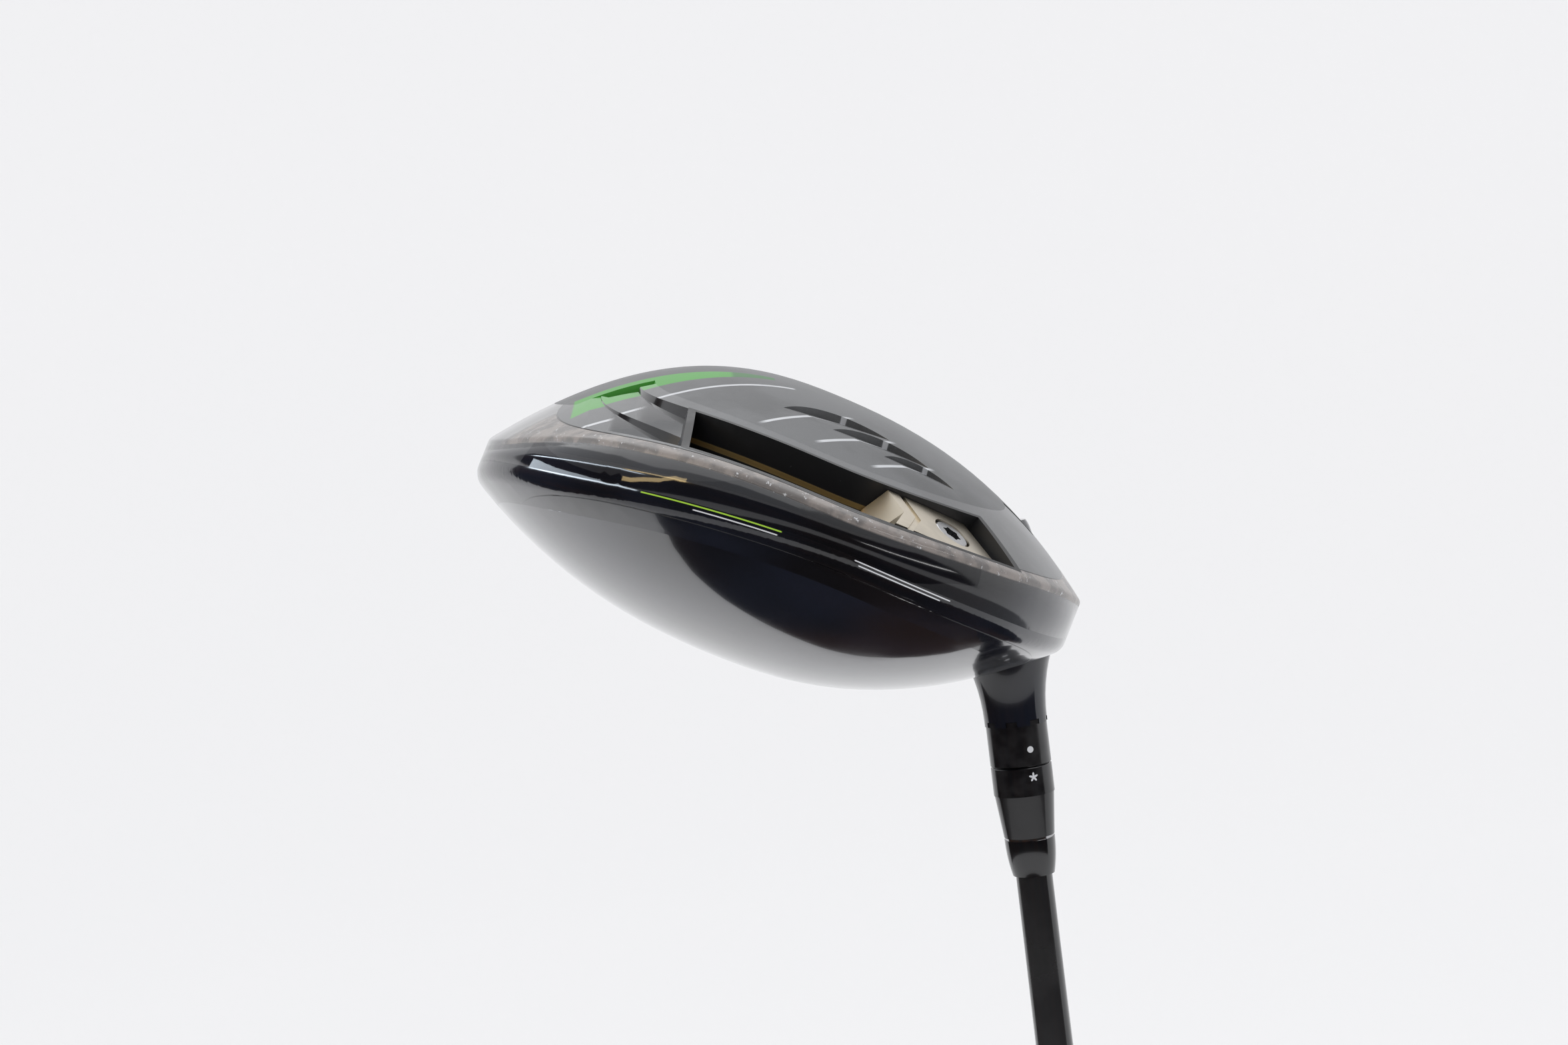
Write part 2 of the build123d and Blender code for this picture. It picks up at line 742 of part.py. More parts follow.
with BuildPart() as hosel_bolt:
    with BuildSketch(shaft_end.offset(bolt_head_end)):
        Circle(bolt_head_radius)
    extrude(amount=bolt_head_height)
    with BuildSketch(shaft_end.offset(bolt_head_top)):
        Circle(bolt_radius)
    extrude(amount=bolt_washer_thickness + seat_thickness + bolt_reach)
    with BuildSketch(shaft_end.offset(bolt_head_end)):
        add(star_socket(bolt_socket))
    extrude(amount=bolt_socket_depth, mode=Mode.SUBTRACT)
hosel_bolt.part.locate(head_place)
hosel_bolt.part.label = "hosel_bolt"
export_step(hosel_bolt.part, "parts/hosel_bolt.step")

# ---- Sleeve and what it carries, drawn in the club's frame by their height above the butt ----
sleeve_floor = club_length - bolt_seat - seat_thickness - retainer_thickness - sleeve_end_gap
tip_end = sleeve_floor - tip_seat
cog_start = club_length - hosel_top
cog_joint = cog_start - lie_cog_height
cog_end = cog_joint - loft_cog_height
collar_end = cog_end - collar_height
ring_end = collar_end - ring_height
ferrule_end = ring_end - ferrule_height

with BuildPart() as shaft_sleeve:
    with BuildSketch(Plane.XZ):
        with BuildLine():
            Polyline(
                (tip_radius + bond_gap, collar_end),
                (collar_end_radius, collar_end),
                (cog_radius - collar_step, cog_end),
                (sleeve_radius, cog_end),
                (sleeve_radius, sleeve_floor),
                (bolt_radius + bolt_clearance, sleeve_floor),
                (bolt_radius + bolt_clearance, tip_end),
                (tip_radius + bond_gap, tip_end),
                close=True,
            )
        make_face()
    revolve(axis=Axis.Z)
shaft_sleeve.part.label = "shaft_sleeve"
export_step(shaft_sleeve.part, "parts/shaft_sleeve.step")

with BuildPart() as lie_cog:
    with BuildSketch(Plane.XY.offset(cog_joint)):
        Circle(cog_radius)
        Circle(sleeve_radius + bond_gap, mode=Mode.SUBTRACT)
    extrude(amount=lie_cog_height)
    with BuildSketch(Plane.XY.offset(cog_start)):
        with PolarLocations(0, cog_teeth, start_angle=180 / cog_teeth):
            with Locations(((sleeve_radius + cog_radius) / 2 + bond_gap, 0)):
                Rectangle(cog_radius - sleeve_radius - 4 * bond_gap, tooth_width)
    extrude(amount=tooth_height - tooth_clearance)
lie_cog.part.label = "lie_cog"
export_step(lie_cog.part, "parts/lie_cog.step")

with BuildPart() as loft_cog:
    with BuildSketch(Plane.XY.offset(cog_end)):
        Circle(cog_radius)
        Circle(sleeve_radius + bond_gap, mode=Mode.SUBTRACT)
    extrude(amount=loft_cog_height - cog_gap)
    chamfer(loft_cog.edges().group_by(Axis.Z)[-1].sort_by(SortBy.LENGTH)[-1], cog_gap)
loft_cog.part.label = "loft_cog"
export_step(loft_cog.part, "parts/loft_cog.step")

with BuildPart() as ferrule_ring:
    with BuildSketch(Plane.XY.offset(ring_end)):
        Circle(collar_end_radius - ring_step)
        Circle(tip_radius + bond_gap, mode=Mode.SUBTRACT)
    extrude(amount=ring_height)
ferrule_ring.part.label = "ferrule_ring"
export_step(ferrule_ring.part, "parts/ferrule_ring.step")

with BuildPart() as ferrule:
    with BuildSketch(Plane.XZ):
        with BuildLine():
            Polyline((tip_radius + bond_gap, ferrule_end), (tip_radius + bond_gap, ring_end),
                     (collar_end_radius, ring_end))
            ThreePointArc(
                (collar_end_radius, ring_end),
                ((collar_end_radius + ferrule_end_radius) / 2 + ferrule_bulge,
                 (ring_end + ferrule_end) / 2),
                (ferrule_end_radius, ferrule_end),
            )
            Line((ferrule_end_radius, ferrule_end), (tip_radius + bond_gap, ferrule_end))
        make_face()
    revolve(axis=Axis.Z)
ferrule.part.label = "ferrule"
export_step(ferrule.part, "parts/ferrule.step")

# ---- Shaft, tape and grip ----
parallel_end = tip_end - tip_parallel
with BuildPart() as shaft:
    with BuildSketch(Plane.XZ):
        with BuildLine():
            Polyline(
                (tip_radius, tip_end),
                (tip_radius, parallel_end),
                (butt_radius, butt_parallel),
                (butt_radius, cap_thickness),
                (butt_radius - butt_wall, cap_thickness),
                (butt_radius - butt_wall, butt_parallel),
                (tip_radius - tip_wall, parallel_end),
                (tip_radius - tip_wall, tip_end),
                close=True,
            )
        make_face()
    revolve(axis=Axis.Z)
shaft.part.label = "shaft"
export_step(shaft.part, "parts/shaft.step")

with BuildPart() as grip_tape:
    with BuildSketch(Plane.XY.offset(cap_thickness)):
        Circle(butt_radius + tape_thickness)
        Circle(butt_radius, mode=Mode.SUBTRACT)
    extrude(amount=grip_length - 2 * cap_thickness)
grip_tape.part.label = "grip_tape"
export_step(grip_tape.part, "parts/grip_tape.step")

with BuildPart() as grip:
    with BuildSketch(Plane.XZ):
        with BuildLine():
            outside = Spline(
                (cap_radius, cap_thickness),
                (cap_radius - 1.2, grip_length * 0.12),
                (grip_mouth_radius + 1.6, grip_length * 0.6),
                (grip_mouth_radius, grip_length),
                tangents=((0.02, 1), (-0.01, 1)),
            )
            Polyline(outside @ 1, (butt_radius + tape_thickness, grip_length),
                     (butt_radius + tape_thickness, cap_thickness), outside @ 0)
        make_face()
    revolve(axis=Axis.Z)
    fillet(grip.edges().group_by(Axis.Z)[-1].sort_by(SortBy.LENGTH)[-1], grip_lip_round)
grip.part.label = "grip"
export_step(grip.part, "parts/grip.step")

with BuildPart() as grip_cap:
    with BuildSketch():
        Circle(cap_radius)
        Circle(vent_radius, mode=Mode.SUBTRACT)
    extrude(amount=cap_thickness)
    fillet(grip_cap.edges().group_by(Axis.Z)[0].sort_by(SortBy.LENGTH)[-1], cap_round)
grip_cap.part.label = "grip_cap"
export_step(grip_cap.part, "parts/grip_cap.step")
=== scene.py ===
import json
from functools import reduce
from math import cos, pi, radians, sin

import bmesh
import bpy
from mathutils import Matrix, Vector

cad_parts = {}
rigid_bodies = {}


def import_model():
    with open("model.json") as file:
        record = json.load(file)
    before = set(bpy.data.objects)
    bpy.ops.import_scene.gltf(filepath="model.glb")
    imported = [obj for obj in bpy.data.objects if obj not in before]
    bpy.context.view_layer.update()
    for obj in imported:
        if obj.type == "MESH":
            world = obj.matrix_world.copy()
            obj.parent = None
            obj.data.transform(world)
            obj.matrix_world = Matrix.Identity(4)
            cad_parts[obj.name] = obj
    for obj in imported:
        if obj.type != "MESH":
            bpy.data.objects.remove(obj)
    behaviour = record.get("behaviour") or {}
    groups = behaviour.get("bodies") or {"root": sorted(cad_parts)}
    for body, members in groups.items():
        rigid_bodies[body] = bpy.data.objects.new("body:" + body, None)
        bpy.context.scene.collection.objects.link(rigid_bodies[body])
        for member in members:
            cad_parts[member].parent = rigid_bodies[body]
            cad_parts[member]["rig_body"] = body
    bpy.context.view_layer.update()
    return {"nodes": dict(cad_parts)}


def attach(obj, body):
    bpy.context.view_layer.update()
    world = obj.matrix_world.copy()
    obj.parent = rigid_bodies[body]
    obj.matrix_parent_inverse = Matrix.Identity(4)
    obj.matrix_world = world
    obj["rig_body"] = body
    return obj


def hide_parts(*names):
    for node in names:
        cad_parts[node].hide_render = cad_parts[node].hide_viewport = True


# A golf driver, held with its sole up. Metres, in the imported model's own frame.
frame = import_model()

# The head's own frame, in millimetres: its origin is where the shaft's axis meets the
# ground, +X leads to the toe, +Y to the target and +Z to the crown.
MM = 0.001
CLUB_LENGTH = 1156.0
LIE = radians(61)
HEAD_CENTRE = 43.0
REAR_CENTRE = -48.0         # forward place of the rear outline's centre
HALF_WIDTH = 65.0
APEX = -12.0                # forward place of the crown's highest line
REAR_EDGE = -104.0
CROWN_TOP = 63.0
CROWN_DROPS = (28.0, 17.0, 26.0)    # towards the heel, the toe and the rear
SOLE_RISES = (22.0, 37.0, 28.0)
RIM_INSIDE = 54.4           # from the rear outline's centre to the rim's inner edge

# The sole's scoops: middle from the head's middle and forward, and length of the straight edge
SCOOPS = ((9.0, -70.0, 23.0), (-1.0, -73.5, 20.0), (-11.0, -76.5, 15.5))
SCOOP_TURN = radians(135)

# Painted lines by their depth under the crown's surface, half their width, and how far they
# run from the head's middle, heel end and toe end
LIME_LINE = (2.15, 0.10, 10.5, 35.5)
WHITE_LINES = ((1.42, 0.07, 11.0, 26.0), (2.05, 0.08, -24.0, -4.0), (1.45, 0.07, -22.0, -5.0))

# The sole's green stripe and the raised line behind it: their slope, their place forward at the
# head's middle, and their run towards the toe
STRIPE_SLOPE, STRIPE_FORWARD, STRIPE_RUN = -0.38, -41.0, (15.5, 51.5)
STRIPE_FRONT = -43.0
STRIPE_DARK_END = 24.0
RAISED_SLOPE, RAISED_FORWARD, RAISED_RUN = -0.50, -46.0, (12.0, 49.0)

# Index marks on the two cogs, along the club and across it
LIE_MARK = 1090.5
LOFT_MARK = 1084.1
INDEX_SIDE = 0.9
INDEX_RADIUS = 0.75

# The grip's moulded studs: how many cross it in a turn, and where they start and end
STUD_TURNS = 14.0
STUD_PITCH = 0.9            # radians per millimetre along the grip
STUD_RUN = (16.0, 236.0)

# The camera, in metres
CAMERA_PLACE = (-0.1165, -0.4794, 1.1656)
CAMERA_AZIMUTH = radians(-8.08)
CAMERA_ELEVATION = radians(1.94)
CAMERA_ROLL = radians(-7.0)
CAMERA_LENS = 48.6

# Lights and the dark cards that the paint mirrors, in metres from the head
HEAD_PLACE = Vector((-0.05, -0.05, 1.15))
WALL_REACH = 1.7
WALL_START = radians(-135)   # from the camera's side round towards the toe's side
WALL_SWEEP = radians(207)
WALL_SLOPES = (radians(-24), radians(33))     # its lower and upper edges, seen from the head
FLOOR_DROP = -0.70
FLOOR_REACH = (0.02, 0.80)
LIGHTS = {    # place, size, power and colour
    "overhead": ((0.1, 0.3, 1.5), (2.0, 2.0), 16, (1, 1, 1)),
    "left_strip": ((-1.25, 0.25, 0.60), (1.3, 0.07), 4.0, (0.80, 0.90, 1)),
    "warm_strip": ((-1.1, -0.45, 0.66), (0.7, 0.04), 1.6, (1, 0.74, 0.36)),
    "right_strip": ((0.9, -0.9, 0.10), (1.0, 0.05), 2.0, (1, 1, 1)),
}

# Finishes, as linear colours
PALE = (0.56, 0.56, 0.565, 1)
PALE_WARM = (0.57, 0.565, 0.565, 1)
CARD_BLACK = (0.012, 0.011, 0.012, 1)
CARD_BROWN = (0.040, 0.022, 0.015, 1)
BLUE_BLACK = (0.008, 0.010, 0.017, 1)
DEEP_BLACK = (0.004, 0.004, 0.005, 1)
SATIN_BLACK = (0.012, 0.012, 0.013, 1)
SOLE_GREY = (0.115, 0.118, 0.122, 1)
SOLE_SHADE = (0.085, 0.087, 0.09, 1)
PALE_GREY = (0.52, 0.53, 0.55, 1)
LIME = (0.30, 0.50, 0.05, 1)
GREEN = (0.045, 0.28, 0.025, 1)
DEEP_GREEN = (0.014, 0.13, 0.018, 1)
LINE_WHITE = (0.55, 0.56, 0.58, 1)
CHAMPAGNE = (0.60, 0.54, 0.44, 1)
# colour of the warm light's reflection, painted along the track's floor corner
REFLECTED_GOLD = (0.62, 0.42, 0.16, 1)
WORN_EDGE = (0.21, 0.185, 0.17, 1)
WORN_SHADE = (0.12, 0.11, 0.105, 1)
RUBBER_WORN = (0.028, 0.028, 0.029, 1)
STEEL = (0.46, 0.46, 0.47, 1)
CAST_GREY = (0.25, 0.25, 0.26, 1)
RUBBER = (0.014, 0.014, 0.015, 1)
TAPE = (0.62, 0.56, 0.44, 1)


def feed(tree, socket, value):
    """Joins an output to a socket, or sets the socket's own value."""
    if isinstance(value, bpy.types.NodeSocket):
        tree.links.new(value, socket)
    else:
        socket.default_value = value


def add(tree, kind, inputs=None, **settings):
    """A new node, with its settings and its inputs."""
    node = tree.nodes.new("ShaderNode" + kind)
    for name, value in settings.items():
        setattr(node, name, value)
    for name, value in (inputs or {}).items():
        feed(tree, node.inputs[name], value)
    return node


def maths(tree, operation, *values, clamp=False):
    """One operation on outputs or numbers."""
    node = add(tree, "Math", operation=operation, use_clamp=clamp)
    for socket, value in zip(node.inputs, values):
        feed(tree, socket, value)
    return node.outputs[0]


def blend(tree, mask, first, second):
    """The first colour where the mask is 0 and the second where it is 1."""
    node = add(tree, "Mix", data_type="RGBA")
    factor, a, b = node.inputs[0], node.inputs[6], node.inputs[7]
    feed(tree, factor, mask)
    feed(tree, a, first)
    feed(tree, b, second)
    return node.outputs[2]


def ramp(tree, value, low, high, start=0.0, end=1.0):
    """A smooth step from start to end as the value goes from low to high."""
    node = add(tree, "MapRange", interpolation_type="SMOOTHSTEP")
    for name, setting in zip(("Value", "From Min", "From Max", "To Min", "To Max"),
                             (value, low, high, start, end)):
        feed(tree, node.inputs[name], setting)
    return node.outputs[0]


def band(tree, value, low, high, soft):
    """1 between low and high, fading over a width of soft on each side."""
    rise = ramp(tree, value, low - soft, low)
    fall = ramp(tree, value, high, high + soft, 1.0, 0.0)
    return maths(tree, "MULTIPLY", rise, fall)


def widest(tree, masks):
    """The greatest of some masks."""
    return reduce(lambda first, second: maths(tree, "MAXIMUM", first, second), masks)


def noise(tree, vector, scale, detail=3.0, roughness=0.55):
    """Noise from 0 to 1, with its scale per millimetre."""
    node = add(tree, "TexNoise", {"Vector": vector, "Scale": scale, "Detail": detail,
                                  "Roughness": roughness})
    return node.outputs["Fac"]


def club_space(tree):
    """Object coordinates in millimetres along the shaft's frame."""
    place = add(tree, "TexCoord").outputs["Object"]
    return add(tree, "Mapping", {"Vector": place, "Scale": (1000, 1000, 1000)}).outputs[0]


def head_space(tree):
    """Object coordinates in the head's own frame, in millimetres."""
    place = add(tree, "TexCoord").outputs["Object"]
    mapping = add(tree, "Mapping", {
        "Vector": place, "Scale": (1000, 1000, 1000), "Rotation": (0, pi / 2 + LIE, 0),
        "Location": (-cos(LIE) * CLUB_LENGTH, 0, sin(LIE) * CLUB_LENGTH)})
    return mapping.outputs[0]


def head_normal(tree):
    """The surface's normal in the head's own frame."""
    normal = add(tree, "TexCoord").outputs["Normal"]
    return add(tree, "Mapping", {"Vector": normal, "Rotation": (0, pi / 2 + LIE, 0)},
               vector_type="VECTOR").outputs[0]


def parts_of(tree, vector):
    """The X, Y and Z of a vector."""
    split = add(tree, "SeparateXYZ", {"Vector": vector})
    return split.outputs[0], split.outputs[1], split.outputs[2]


def new_group(name, inputs, outputs):
    """An empty shader group with float and vector inputs, and its two end nodes."""
    tree = bpy.data.node_groups.new(name, "ShaderNodeTree")
    for label, kind, value in inputs:
        socket = tree.interface.new_socket(name=label, in_out="INPUT",
                                           socket_type="NodeSocket" + kind)
        if kind == "Float":
            socket.default_value = value
    for label in outputs:
        tree.interface.new_socket(name=label, in_out="OUTPUT", socket_type="NodeSocketFloat")
    return tree, tree.nodes.new("NodeGroupInput"), tree.nodes.new("NodeGroupOutput")


def use_group(tree, group, inputs):
    """A group's outputs, for the given inputs."""
    node = tree.nodes.new("ShaderNodeGroup")
    node.node_tree = group
    for name, value in inputs.items():
        feed(tree, node.inputs[name], value)
    return node.outputs


def make_handling_group():
    """Use marks: fine scratches that run one way, and soft smudges."""
    tree, start, end = new_group("handling_marks", [
        ("Place", "Vector", None), ("Scratch Scale", "Float", 0.4), ("Amount", "Float", 0.5)],
        ["Scratches", "Smudges"])
    place = start.outputs["Place"]
    stretched = add(tree, "Mapping", {"Vector": place, "Scale": (1, 0.05, 1),
                                      "Rotation": (0, 0, radians(24))}).outputs[0]
    lines = noise(tree, stretched, start.outputs["Scratch Scale"], 4.0, 0.7)
    threshold = maths(tree, "SUBTRACT", 0.78, maths(tree, "MULTIPLY", start.outputs["Amount"], 0.1))
    over = maths(tree, "SUBTRACT", lines, threshold)
    feed(tree, end.inputs["Scratches"], maths(tree, "MULTIPLY", over, 14.0, clamp=True))
    patches = noise(tree, place, 0.035, 5.0, 0.6)
    feed(tree, end.inputs["Smudges"],
         maths(tree, "MULTIPLY", ramp(tree, patches, 0.42, 0.68), start.outputs["Amount"]))
    return tree


def make_grain_group():
    """A fine surface grain: a height and a speck mask."""
    tree, start, end = new_group("fine_grain", [
        ("Place", "Vector", None), ("Grain Scale", "Float", 4.0)], ["Height", "Specks"])
    fine = noise(tree, start.outputs["Place"], start.outputs["Grain Scale"], 4.0, 0.65)
    feed(tree, end.inputs["Height"], fine)
    feed(tree, end.inputs["Specks"], ramp(tree, fine, 0.60, 0.72))
    return tree


def make_outline_group():
    """How far a place is from the rear outline's centre, and how far towards the toe."""
    tree, start, end = new_group("rear_outline", [("Place", "Vector", None)],
                                 ["Distance", "Toe Side"])
    x, y, _ = parts_of(tree, start.outputs["Place"])
    across = maths(tree, "SUBTRACT", x, HEAD_CENTRE)
    forward = maths(tree, "SUBTRACT", y, REAR_CENTRE)
    reach = maths(tree, "SQRT", maths(tree, "ADD", maths(tree, "POWER", across, 2.0),
                                      maths(tree, "POWER", forward, 2.0)))
    feed(tree, end.inputs["Distance"], reach)
    feed(tree, end.inputs["Toe Side"], across)
    return tree


def make_heights_group():
    """How far a place lies under the crown's surface and over the sole's."""
    tree, start, end = new_group("head_heights", [("Place", "Vector", None)],
                                 ["Under Crown", "Over Sole"])
    x, y, z = parts_of(tree, start.outputs["Place"])
    side = maths(tree, "SUBTRACT", x, HEAD_CENTRE)
    toe = maths(tree, "GREATER_THAN", side, 0.0)
    across = maths(tree, "DIVIDE", maths(tree, "ABSOLUTE", side), HALF_WIDTH)
    back = maths(tree, "DIVIDE", maths(tree, "MAXIMUM", maths(tree, "SUBTRACT", APEX, y), 0.0),
                 APEX - REAR_EDGE)
    rear_share = maths(tree, "POWER", back, 2.1)

    def change(sizes, power):
        heel_size, toe_size, rear_size = sizes
        size = maths(tree, "MULTIPLY_ADD", toe, toe_size - heel_size, heel_size)
        across_part = maths(tree, "MULTIPLY", size, maths(tree, "POWER", across, power))
        return maths(tree, "MULTIPLY_ADD", rear_share, rear_size, across_part)

    crown = maths(tree, "SUBTRACT", CROWN_TOP, change(CROWN_DROPS, 2.3))
    feed(tree, end.inputs["Under Crown"], maths(tree, "SUBTRACT", crown, z))
    feed(tree, end.inputs["Over Sole"], maths(tree, "SUBTRACT", z, change(SOLE_RISES, 2.4)))
    return tree


def make_edge_lines_group():
    """Thin painted lines where the skirt turns over into the crown: a lime one and white ones."""
    tree, start, end = new_group("crown_edge_lines", [("Place", "Vector", None)],
                                 ["Lime", "White"])
    outline = use_group(tree, OUTLINE, {"Place": start.outputs["Place"]})
    heights = use_group(tree, HEIGHTS, {"Place": start.outputs["Place"]})
    side, under = outline["Toe Side"], heights["Under Crown"]
    rear = ramp(tree, outline["Distance"], 53.0, 53.5)

    def line(middle, half, heel_end, toe_end):
        return maths(tree, "MULTIPLY", band(tree, under, middle - half, middle + half, 0.06),
                     band(tree, side, heel_end, toe_end, 0.3))

    white = widest(tree, [line(*sizes) for sizes in WHITE_LINES])
    feed(tree, end.inputs["Lime"], maths(tree, "MULTIPLY", line(*LIME_LINE), rear))
    feed(tree, end.inputs["White"], maths(tree, "MULTIPLY", white, rear))
    return tree


def make_sole_marks_group():
    """A green stripe near the sole's toe side, its darker end, a raised line behind it, and a
    painted highlight along the straight edge of each scoop."""
    tree, start, end = new_group("sole_marks", [("Place", "Vector", None)],
                                 ["Stripe", "Dark End", "Line", "Scoop Highlight"])
    x, y, _ = parts_of(tree, start.outputs["Place"])
    side = maths(tree, "SUBTRACT", x, HEAD_CENTRE)
    low = maths(tree, "MULTIPLY_ADD", side, STRIPE_SLOPE, STRIPE_FORWARD)
    line = maths(tree, "MULTIPLY_ADD", side, RAISED_SLOPE, RAISED_FORWARD)
    stripe = maths(tree, "MULTIPLY", ramp(tree, maths(tree, "SUBTRACT", y, low), 0.0, 0.5),
                   ramp(tree, y, STRIPE_FRONT, STRIPE_FRONT - 0.5))
    toe_run = band(tree, side, *STRIPE_RUN, 0.4)
    feed(tree, end.inputs["Stripe"], maths(tree, "MULTIPLY", stripe, toe_run))
    feed(tree, end.inputs["Dark End"],
         ramp(tree, side, STRIPE_DARK_END + 0.5, STRIPE_DARK_END - 0.5))
    offset = maths(tree, "SUBTRACT", y, line)
    feed(tree, end.inputs["Line"], maths(tree, "MULTIPLY", band(tree, offset, -0.5, 0.5, 0.3),
                                         band(tree, side, *RAISED_RUN, 1.0)))

    # Painted highlight: a pale strip along each scoop's straight edge, standing in for light caught
    # by a bevel there
    edges = []
    for toeward, forward, chord in SCOOPS:
        across = maths(tree, "SUBTRACT", side, toeward)
        ahead = maths(tree, "SUBTRACT", y, forward)
        along = maths(tree, "MULTIPLY_ADD", across, cos(SCOOP_TURN),
                      maths(tree, "MULTIPLY", ahead, sin(SCOOP_TURN)))
        off = maths(tree, "MULTIPLY_ADD", across, -sin(SCOOP_TURN),
                    maths(tree, "MULTIPLY", ahead, cos(SCOOP_TURN)))
        edges.append(maths(tree, "MULTIPLY", band(tree, along, -chord / 2, chord / 2, 3.0),
                           band(tree, off, -0.3, 0.3, 0.2)))
    feed(tree, end.inputs["Scoop Highlight"], widest(tree, edges))
    return tree


HANDLING = make_handling_group()
GRAIN = make_grain_group()
OUTLINE = make_outline_group()
HEIGHTS = make_heights_group()
EDGE_LINES = make_edge_lines_group()
SOLE_MARKS = make_sole_marks_group()


def new_material(name, **settings):
    """A material with a Principled shader, whose constant values sit on its own sockets."""
    material = bpy.data.materials.new(name)
    material.use_nodes = True
    tree = material.node_tree
    shader = tree.nodes["Principled BSDF"]
    for label, value in settings.items():
        shader.inputs[label.replace("_", " ")].default_value = value
    return material, tree, shader


def bump(tree, shader, height, distance, strength=1.0):
    """Feeds a height in millimetres, turned to metres, to the shader's normal."""
    node = add(tree, "Bump", {"Height": height, "Distance": distance * MM, "Strength": strength})
    feed(tree, shader.inputs["Normal"], node.outputs[0])


def sole_finish(tree, place):
    """Colour, roughness, metal share and height of the painted sole."""
    grain = use_group(tree, GRAIN, {"Place": place, "Grain Scale": 5.0})
    marks = use_group(tree, HANDLING, {"Place": place, "Scratch Scale": 0.5, "Amount": 0.5})
    painted = use_group(tree, SOLE_MARKS, {"Place": place})
    base = blend(tree, ramp(tree, marks["Smudges"], 0.0, 0.5), SOLE_GREY, SOLE_SHADE)
    base = blend(tree, maths(tree, "MULTIPLY", grain["Specks"], 0.3), base, PALE_GREY)
    base = blend(tree, painted["Line"], base, PALE_GREY)
    # painted highlight along the scoops' straight edges
    base = blend(tree, painted["Scoop Highlight"], base, PALE_GREY)
    green = blend(tree, painted["Dark End"], GREEN, DEEP_GREEN)
    base = blend(tree, painted["Stripe"], base, green)
    rough = ramp(tree, grain["Specks"], 0.0, 1.0, 0.40, 0.52)
    metal = ramp(tree, painted["Stripe"], 0.0, 1.0, 0.45, 0.0)
    height = maths(tree, "ADD", maths(tree, "MULTIPLY", grain["Height"], 0.12), painted["Line"])
    return base, rough, metal, height


def paint_frame():
    """Gloss blue-black skirt with edge lines, a worn rim, and the sole's matt paint inside it."""
    material, tree, shader = new_material("frame_gloss_paint", Coat_Weight=0.35,
                                          Coat_Roughness=0.03)
    place = head_space(tree)
    marks = use_group(tree, HANDLING, {"Place": place, "Scratch Scale": 0.9, "Amount": 0.25})
    lines = use_group(tree, EDGE_LINES, {"Place": place})
    heights = use_group(tree, HEIGHTS, {"Place": place})
    outline = use_group(tree, OUTLINE, {"Place": place})
    _, y, _ = parts_of(tree, place)
    _, _, up = parts_of(tree, head_normal(tree))

    near_sole = ramp(tree, heights["Over Sole"], 1.4, 1.0)
    outside = ramp(tree, outline["Distance"], RIM_INSIDE - 0.3, RIM_INSIDE)
    rim = maths(tree, "MULTIPLY", maths(tree, "MULTIPLY", near_sole, outside),
                ramp(tree, y, -44, -52))
    sole = maths(tree, "MULTIPLY", maths(tree, "MULTIPLY", near_sole, ramp(tree, up, -0.3, -0.5)),
                 maths(tree, "SUBTRACT", 1.0, outside))
    sole_base, sole_rough, sole_metal, sole_height = sole_finish(tree, place)

    nicks = noise(tree, place, 0.9, 5.0, 0.75)
    bare = ramp(tree, nicks, 0.60, 0.68)
    rim_tone = blend(tree, ramp(tree, noise(tree, place, 0.25), 0.4, 0.6), WORN_EDGE, WORN_SHADE)
    rim_tone = blend(tree, bare, rim_tone, PALE_GREY)
    tone = ramp(tree, noise(tree, place, 0.02, 2.0), 0.35, 0.65)
    base = blend(tree, tone, BLUE_BLACK, DEEP_BLACK)
    base = blend(tree, lines["White"], base, LINE_WHITE)
    base = blend(tree, lines["Lime"], base, LIME)
    base = blend(tree, rim, base, rim_tone)
    feed(tree, shader.inputs["Base Color"], blend(tree, sole, base, sole_base))

    rough = ramp(tree, marks["Smudges"], 0.0, 0.4, 0.11, 0.20)
    rough = maths(tree, "MAXIMUM", rough, maths(tree, "MULTIPLY", rim, 0.36))
    sole_part = maths(tree, "MULTIPLY", sole, sole_rough)
    feed(tree, shader.inputs["Roughness"], maths(tree, "MAXIMUM", rough, sole_part))
    feed(tree, shader.inputs["Metallic"], maths(tree, "MULTIPLY", sole, sole_metal))

    # The skirt's normal leans out in its middle, as a rounded band would
    span = maths(tree, "ADD", heights["Over Sole"], heights["Under Crown"])
    share = maths(tree, "DIVIDE", maths(tree, "SUBTRACT", heights["Over Sole"], 1.2),
                  maths(tree, "SUBTRACT", span, 3.7), clamp=True)
    from_middle = maths(tree, "MULTIPLY_ADD", share, 2.0, -1.0)
    round_over = maths(tree, "MULTIPLY", maths(tree, "POWER", maths(
        tree, "ABSOLUTE", from_middle), 2.0), -1.1)
    round_over = maths(tree, "MULTIPLY", round_over, outside)
    fine = maths(tree, "ADD", maths(tree, "MULTIPLY", marks["Scratches"], 0.006),
                 maths(tree, "MULTIPLY", maths(tree, "MULTIPLY", nicks, rim), 0.10))
    fine = maths(tree, "ADD", fine, maths(tree, "MULTIPLY", maths(
        tree, "MULTIPLY", sole_height, sole), 0.10))
    bump(tree, shader, maths(tree, "ADD", round_over, fine), 1.0, 1.0)
    return material


def paint_crown():
    """Near-black gloss paint with soft smudges and hair scratches."""
    material, tree, shader = new_material("crown_gloss_paint", Coat_Weight=0.5,
                                          Coat_Roughness=0.02)
    place = head_space(tree)
    marks = use_group(tree, HANDLING, {"Place": place, "Scratch Scale": 0.9, "Amount": 0.25})
    tone = ramp(tree, noise(tree, place, 0.02, 2.0), 0.35, 0.65)
    feed(tree, shader.inputs["Base Color"], blend(tree, tone, DEEP_BLACK, BLUE_BLACK))
    feed(tree, shader.inputs["Roughness"], ramp(tree, marks["Smudges"], 0.0, 0.4, 0.08, 0.16))
    bump(tree, shader, marks["Scratches"], 0.006, 0.4)
    return material


